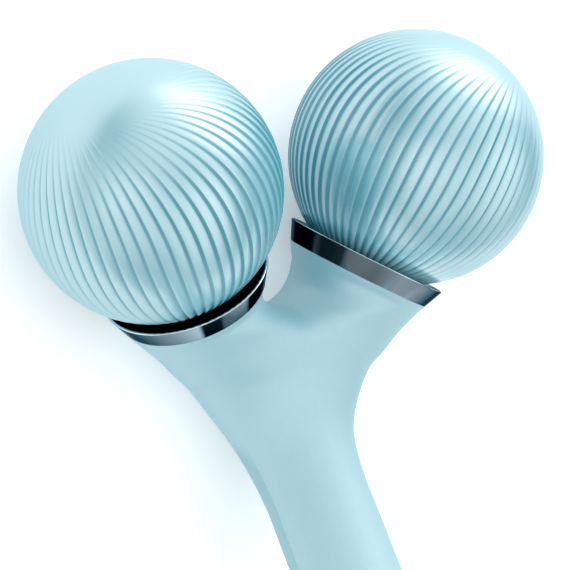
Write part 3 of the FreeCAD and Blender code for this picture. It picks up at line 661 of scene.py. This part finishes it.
EDGE_POINTS = 240
EDGE_POWER = 3
EDGE_ROUNDING = 0.015
NOTCH_ROUNDINGS = {FRONT: 0.007, REAR: 0.014}
ARM_ROUNDING_SHARE = 1.4
ARM_ROUNDING = ARM_ROUNDING_SHARE * BASE_RADIUS
WEB_START_SHARES = (0.0, 0.4)
WEB_END_SHARES = (1.0, 0.94)
ARM_SHARES = (0.8, 1.0)


def edge_line(start, edge):
    """Stations and reaches of the leg's outer or inner edge, from a share of the bend to the collar."""
    rows = np.array([blended_section(share) for share in np.linspace(start, 1, EDGE_POINTS)])
    reaches = drawn_in(rows[:, FIELDS[edge + "_reach"]], rows[:, FIELDS["blend"]])
    return np.column_stack([rows[:, FIELDS[edge + "_station"]], reaches])


OUTER_EDGE = edge_line(SECTION_SHARES[0], "outer")
NOTCH_EDGE = edge_line(CROTCH_SHARE, "inner")


def edge_distance(places, edge):
    """How far each place lies from a line of points."""
    start = edge[:-1]
    run = edge[1:] - start
    from_start = places[:, None, :] - start[None, :, :]
    along = np.clip((from_start * run).sum(axis=2) / (run * run).sum(axis=1), 0, 1)
    return np.linalg.norm(from_start - along[:, :, None] * run, axis=2).min(axis=1)


def pillow_rise(places, face, share):
    """Share of the full depth at each place of the web."""
    arm = smooth_step(share, *ARM_SHARES)
    rise = np.ones(len(places))
    for edge, rounding in ((OUTER_EDGE, EDGE_ROUNDING), (NOTCH_EDGE, NOTCH_ROUNDINGS[face])):
        reach = rounding + arm * (ARM_ROUNDING - rounding)
        inward = np.clip(edge_distance(places, edge) / reach, 0, 1)
        rise *= np.sqrt(1 - (1 - inward) ** EDGE_POWER)
    return rise


# Rows of the handle's two skins. The seam between them is tighter than the source's parting gap.

ARC_POINTS = 60
END_CROWDING = 0.85
LIP_POINTS = 2
SEAM_GAP = 0.00002
SEAM_SHARES = (0.16, -0.02)
PARTING_ROUND = 0.00005
PARTING_LIP = 0.0012


def crowded_shares(count):
    """Shares from 0 to 1 that lie closer together near both ends."""
    shares = np.linspace(0, 1, count)
    return shares - END_CROWDING * np.sin(2 * math.pi * shares) / (2 * math.pi)


def section_row(fields, face, closed, shrink=1.0):
    """One row of a leg's skin in the fork frame, from its inner end round to the outer parting lip.

    A closed row starts with an inner parting lip too; an open one starts at the middle plane. The
    seam between the two skins shows along the grip only.
    """
    section = Section(*fields)
    mid_station = (section.outer_station + section.inner_station) / 2
    middle, along = station(mid_station)
    front = np.array([-along[2], 0, along[0]])
    across = np.array([0, section.outer_reach - section.inner_reach, 0])
    across = across + along * (section.outer_station - section.inner_station)
    half_width = shrink * np.linalg.norm(across) / 2
    across = unit(across)
    seam = shrink * smooth_step(section.share, *SEAM_SHARES)
    centre = middle + np.array([0, (section.outer_reach + section.inner_reach) / 2, 0])
    centre = centre + front * (shrink * section.lift + face * seam * SEAM_GAP / 2)
    crease = section.crease
    last = crease + seam * PARTING_ROUND / half_width
    if closed:
        first = math.pi - last
    else:
        first = math.acos((section.blend - centre[1]) / across[1] * math.cos(crease) / half_width)
    angles = first + (last - first) * crowded_shares(ARC_POINTS)
    widths = half_width * np.cos(angles) / math.cos(crease)
    rises = (np.sin(angles) - math.sin(crease)) / (1 - math.sin(crease))
    places = np.column_stack([mid_station + widths * (across @ along),
                              drawn_in(centre[1] + widths * across[1], section.blend)])
    web = smooth_step(section.share, *WEB_START_SHARES) * smooth_step(section.share, *WEB_END_SHARES)
    rises = rises + web * (pillow_rise(places, face, section.share) - rises)
    depths = shrink * (section.half_depth - face * section.lift) * rises
    lips = half_width - np.array([seam * PARTING_ROUND, shrink * PARTING_LIP])
    widths = np.concatenate([widths, lips])
    depths = np.concatenate([depths, np.zeros(LIP_POINTS)])
    if closed:
        widths = np.concatenate([-lips[::-1], widths])
        depths = np.concatenate([np.zeros(LIP_POINTS), depths])
    row = centre + np.outer(widths, across) + np.outer(depths * face, front)
    row[:, 1] = drawn_in(row[:, 1], section.blend)
    if not closed:
        row[0, 1] = 0
    return row


DOME_ROWS = 28
DOME_TIP_SHARE = 1e-4
GRIP_ROWS = 24
LOWER_ROWS = 90
LOWER_CROWDING = 2.0
UPPER_ROWS = 50
COLLAR_LIP_SHARE = 0.85


def grip_row(place, face, shrink=1.0):
    """A row of the straight grip, whose section stays the same, at a place on the centre line."""
    fields = SECTIONS[0].copy()
    fields[STATION_FIELDS] = place
    return section_row(fields, face, False, shrink)


def leg_grids(face):
    """The left leg as grids of rows: grip end with grip and bend up to the crotch, then the arm."""
    lower = []
    for turn in np.linspace(math.pi / 2, 0, DOME_ROWS):
        place = -GRIP_LENGTH - DOME_LENGTH * math.sin(turn)
        lower.append(grip_row(place, face, max(math.cos(turn), DOME_TIP_SHARE)))
    grip_top = SECTIONS[0, FIELDS["outer_station"]]
    for place in np.linspace(-GRIP_LENGTH, grip_top, GRIP_ROWS)[1:-1]:
        lower.append(grip_row(place, face))
    for part in np.linspace(0, 1, LOWER_ROWS, endpoint=False):
        share = CROTCH_SHARE - (CROTCH_SHARE - GRIP_TOP_SHARE) * (1 - part) ** LOWER_CROWDING
        lower.append(section_row(blended_section(share), face, False))
    upper = []
    for part in np.linspace(0, 1, UPPER_ROWS):
        share = CROTCH_SHARE + (1 - CROTCH_SHARE) * part * part
        upper.append(section_row(blended_section(share), face, True))
    lower.append(upper[0][LIP_POINTS:])
    upper.append(section_row(SECTIONS[-1], face, True, 1 - PARTING_ROUND / BASE_RADIUS))
    upper.append(section_row(SECTIONS[-1], face, True, COLLAR_LIP_SHARE))
    return np.array(lower), np.array(upper)


# The rear skin carries painted shade along the grip, where the photograph shows an edge of tone at the parting.
MIRROR = np.array([1, -1, 1])
REAR_PAINTED_SHADE_TONE = 0.56


def handle_piece(name, face, node, material):
    """One skin of the handle, both legs."""
    points = []
    faces = []
    offset = 0
    for grid in leg_grids(face):
        rows, columns = grid.shape[:2]
        flat = grid.reshape(-1, 3)
        for side in SIDES.values():
            points.append(flat if side == 1 else flat * MIRROR)
            outward = side * face == 1
            side_faces = quad_faces(rows, columns, False, offset)
            faces += [quad if outward else quad[::-1] for quad in side_faces]
            offset += rows * columns
    points = np.concatenate(points)
    tones = np.full(len(points), PEARL_TONE)
    # Painted shade on the rear skin along the grip, which also weakens its gloss.
    if face == REAR:
        places = [station(share * BEND_LENGTH)[0][0] for share in SEAM_SHARES]
        tones -= (PEARL_TONE - REAR_PAINTED_SHADE_TONE) * smooth_step(points[:, 0], *places)
    new_piece(name, from_fork(points), faces, "handle", node, material, tones)


# The pieces.

pearl_ball = pearl_material(BALL_LACQUER)
pearl_handle = pearl_material(HANDLE_LACQUER)
plating = plating_material()

for name, side in SIDES.items():
    ball_piece(name, side, pearl_ball)
    collar_piece(name, side, plating)
handle_piece("handle_front_skin", FRONT, "handle_front_shell", pearl_handle)
handle_piece("handle_rear_skin", REAR, "handle_rear_shell", pearl_handle)

inner_materials = {slot: inner_material(finish) for slot, finish in INNER_FINISHES.items()}
for subpart in frame["record"]["subparts"]:
    if subpart["material_slot"] in inner_materials:
        mesh = frame["nodes"][subpart["node"]].data
        mesh.materials.clear()
        mesh.materials.append(inner_materials[subpart["material_slot"]])


# The stage, the light and the camera.

FLOOR_HALF = 3.0
FLOOR_NOISE = (6, 3)
FLOOR_COLOURS = ((0.93, 0.93, 0.93), (0.95, 0.95, 0.95))
FLOOR_ROUGHNESS = 0.9
FLOOR_GLOW = 0.24


def floor_stage():
    """A plain pale floor under the roller, which glows a little."""
    mesh = bpy.data.meshes.new("floor")
    corners = [(-FLOOR_HALF, -FLOOR_HALF, 0), (FLOOR_HALF, -FLOOR_HALF, 0),
               (FLOOR_HALF, FLOOR_HALF, 0), (-FLOOR_HALF, FLOOR_HALF, 0)]
    mesh.from_pydata(corners, [], [(0, 1, 2, 3)])
    shader = Shader("pale_floor", Roughness=FLOOR_ROUGHNESS, Specular_IOR_Level=0.0,
                    Emission_Color=(1, 1, 1, 1), Emission_Strength=FLOOR_GLOW)
    shader.link(shader.ramp(shader.noise(*FLOOR_NOISE), *FLOOR_COLOURS), "Base Color")
    mesh.materials.append(shader.material)
    floor = bpy.data.objects.new("floor", mesh)
    bpy.context.scene.collection.objects.link(floor)


# The studio's sky: a base level, and soft panels given by azimuth, elevation and half width in degrees
# and by the level that they add or take away.
SKY_LEVEL = 0.75
SKY_PANELS = (
    (319, 7, 38, 2.4),
    (85, 38, 30, 0.4),
    (346, 28, 48, 0.5),
    (120, 50, 48, 0.4),
    (280, 50, 30, 0.4),
    (257, 6, 30, -0.45),
    (168, 10, 36, -0.2),
    (235, 50, 40, 0.7),
    (35, -2, 34, -0.4),
    (36, 72, 48, 0.2),
)


def sky_direction(azimuth, elevation):
    """The direction at an azimuth from the X axis and an elevation, both in degrees."""
    turn = math.radians(azimuth)
    rise = math.radians(elevation)
    return math.cos(rise) * math.cos(turn), math.cos(rise) * math.sin(turn), math.sin(rise)


def studio_world():
    """A pale surround with soft bright and dim panels."""
    world = bpy.data.worlds.new("studio")
    world.use_nodes = True
    tree = world.node_tree
    surround = tree.nodes["Background"]
    surround.inputs["Color"].default_value = (1, 1, 1, 1)
    place = tree.nodes.new("ShaderNodeTexCoord").outputs["Generated"]
    total = None
    for azimuth, elevation, half_width, level in SKY_PANELS:
        nearness = tree.nodes.new("ShaderNodeVectorMath")
        nearness.operation = "DOT_PRODUCT"
        nearness.inputs[1].default_value = sky_direction(azimuth, elevation)
        tree.links.new(place, nearness.inputs[0])
        panel = tree.nodes.new("ShaderNodeMapRange")
        panel.interpolation_type = "SMOOTHSTEP"
        panel.inputs["From Min"].default_value = math.cos(math.radians(half_width))
        panel.inputs["From Max"].default_value = 1
        panel.inputs["To Min"].default_value = 0
        panel.inputs["To Max"].default_value = level
        tree.links.new(nearness.outputs["Value"], panel.inputs["Value"])
        sum_so_far = tree.nodes.new("ShaderNodeMath")
        sum_so_far.operation = "ADD"
        sum_so_far.inputs[0].default_value = SKY_LEVEL
        if total is not None:
            tree.links.new(total, sum_so_far.inputs[0])
        tree.links.new(panel.outputs["Result"], sum_so_far.inputs[1])
        total = sum_so_far.outputs["Value"]
    tree.links.new(total, surround.inputs["Strength"])
    bpy.context.scene.world = world


# The camera's place and axes in the fork frame, fitted to the outlines of both balls.
CAMERA_PLACE = (0.2493, 0.3706, 0.5032)
CAMERA_RIGHT = (0.0871, -0.8186, 0.5679)
CAMERA_UP = (0.9402, -0.121, -0.3186)
CAMERA_LENS = 270.7
CAMERA_SENSOR = 36.0
CAMERA_NEAR = 0.05
CAMERA_FAR = 20


def photo_camera():
    """The camera at the photograph's place."""
    data = bpy.data.cameras.new("camera")
    data.sensor_width = CAMERA_SENSOR
    data.lens = CAMERA_LENS
    data.clip_start = CAMERA_NEAR
    data.clip_end = CAMERA_FAR
    camera = bpy.data.objects.new("camera", data)
    right = unit(np.array(CAMERA_RIGHT) @ FORK_AXES)
    back = unit(np.cross(right, np.array(CAMERA_UP) @ FORK_AXES))
    up = np.cross(back, right)
    turn = Matrix([list(axis) for axis in np.array([right, up, back]).T]).to_4x4()
    camera.matrix_world = Matrix.Translation(Vector(from_fork(CAMERA_PLACE))) @ turn
    bpy.context.scene.collection.objects.link(camera)
    bpy.context.scene.camera = camera


floor_stage()
studio_world()
photo_camera()
bpy.context.scene.view_settings.view_transform = "Standard"

bpy.context.view_layer.update()
